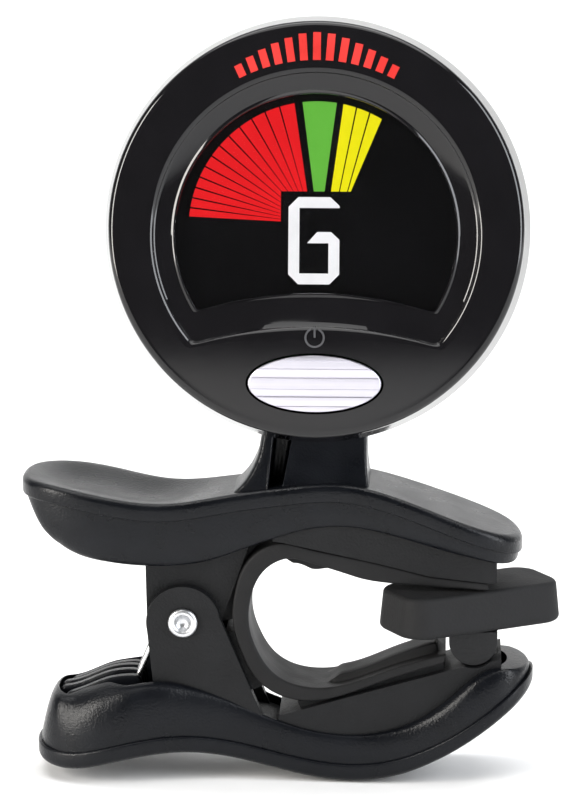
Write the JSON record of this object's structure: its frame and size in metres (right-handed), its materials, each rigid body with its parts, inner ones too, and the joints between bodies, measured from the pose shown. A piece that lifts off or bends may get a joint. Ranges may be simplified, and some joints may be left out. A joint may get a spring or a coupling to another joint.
{
  "type": "clip-on tuner",
  "caption": "Round display head with an oval button and a lit meter, on a ball joint above a sprung two-lever clip with a swivelling rubber jaw pad.",
  "frame": {"origin": "middle of the jaw pad gripping face, where the clip holds the instrument", "axes": "+X from the finger levers out past the jaws, +Z from the jaws up towards the display head, -Y the way the display faces"},
  "size_m": [0.0615, 0.0292, 0.0878],
  "materials": {
    "cover": "satin moulded, fine stipple",
    "frame": "matte, fine texture",
    "gloss_black": "polished",
    "rubber": "matte",
    "steel": "bright",
    "spring": "bright wire",
    "button": "satin silver, fine ribs",
    "window": "polished",
    "lcd": "polished",
    "red": "lit",
    "green": "lit",
    "yellow": "lit",
    "white": "lit",
    "mark_red": "printed",
    "mark_grey": "printed",
    "board": "solder mask",
    "chip": "moulded",
    "guide": "clear",
    "brass": "bright",
    "nylon": "plain"
  },
  "bodies": {
    "lower_lever": {"lower_cover": "cover", "lower_body": "cover", "lower_frame": "frame", "lower_lever_screws": "steel", "pivot_pin": "steel", "torsion_spring": "spring", "jaw_strap": "rubber"},
    "upper_lever": {"upper_cover": "cover", "upper_body": "cover", "upper_frame": "frame", "upper_lever_screws": "steel", "ball_stud": "steel"},
    "tilt_liner": {"ball_liner": "nylon"},
    "pan_cup": {"socket_cup": "nylon"},
    "head": {"front_bezel": "gloss_black", "display_window": "window", "lcd_panel": "lcd", "meter_red": "red", "meter_green": "green", "meter_yellow": "yellow", "note_readout": "white", "light_guide": "guide", "contact_strip": "rubber", "main_board": "board", "board_parts": "chip", "pickup_disc": "brass", "coin_cell": "steel", "contact_minus": "spring", "contact_plus": "spring", "rear_shell": "gloss_black", "case_screws": "steel", "dome_switch": "steel", "standby_mark": "mark_grey", "level_mark": "mark_red", "socket_ring": "gloss_black"},
    "button": {"power_button": "button", "button_plunger": "nylon"},
    "door": {"battery_door": "gloss_black"},
    "rocker": {"pad_rocker": "frame", "rocker_pin": "steel"},
    "pad": {"jaw_pad": "rubber"}
  },
  "joints": [
    {"name": "clip_open", "type": "hinge", "parent": "lower_lever", "child": "upper_lever", "pos_m": [-0.033, 0, -0.0038], "axis": [0, -1, 0], "range_deg": [0, 30], "stiffness_Nm_per_rad": 0.27, "springref_deg": -57.3, "deforming": ["torsion_spring", "jaw_strap"]},
    {"name": "head_tilt", "type": "hinge", "parent": "upper_lever", "child": "tilt_liner", "pos_m": [-0.0175, -0.0068, 0.0287], "axis": [1, 0, 0], "range_deg": [-15, 15]},
    {"name": "head_pan", "type": "hinge", "parent": "tilt_liner", "child": "pan_cup", "pos_m": [-0.0175, -0.0068, 0.0287], "axis": [0, 0.1616, 0.9869], "range_deg": [-15, 15]},
    {"name": "head_spin", "type": "hinge", "parent": "pan_cup", "child": "head", "pos_m": [-0.0175, -0.0068, 0.0287], "axis": [0, -0.9869, 0.1616], "range_deg": [-60, 60]},
    {"name": "button_press", "type": "slide", "parent": "head", "child": "button", "axis": [0, 0.9869, -0.1616], "range_m": [0, 0.0004], "stiffness_N_per_m": 1200, "springref_m": -0.0001},
    {"name": "door_turn", "type": "hinge", "parent": "head", "child": "door", "pos_m": [-0.0175, -0.0062, 0.04785], "axis": [0, 0.9869, -0.1616], "range_deg": [0, 40]},
    {"name": "pad_rock", "type": "hinge", "parent": "lower_lever", "child": "rocker", "pos_m": [0, 0, -0.00595], "axis": [0, 1, 0], "range_deg": [-6, 6]},
    {"name": "pad_swivel", "type": "hinge", "parent": "rocker", "child": "pad", "pos_m": [0, 0, -0.0047], "axis": [0, 0, 1], "continuous": true}
  ]
}
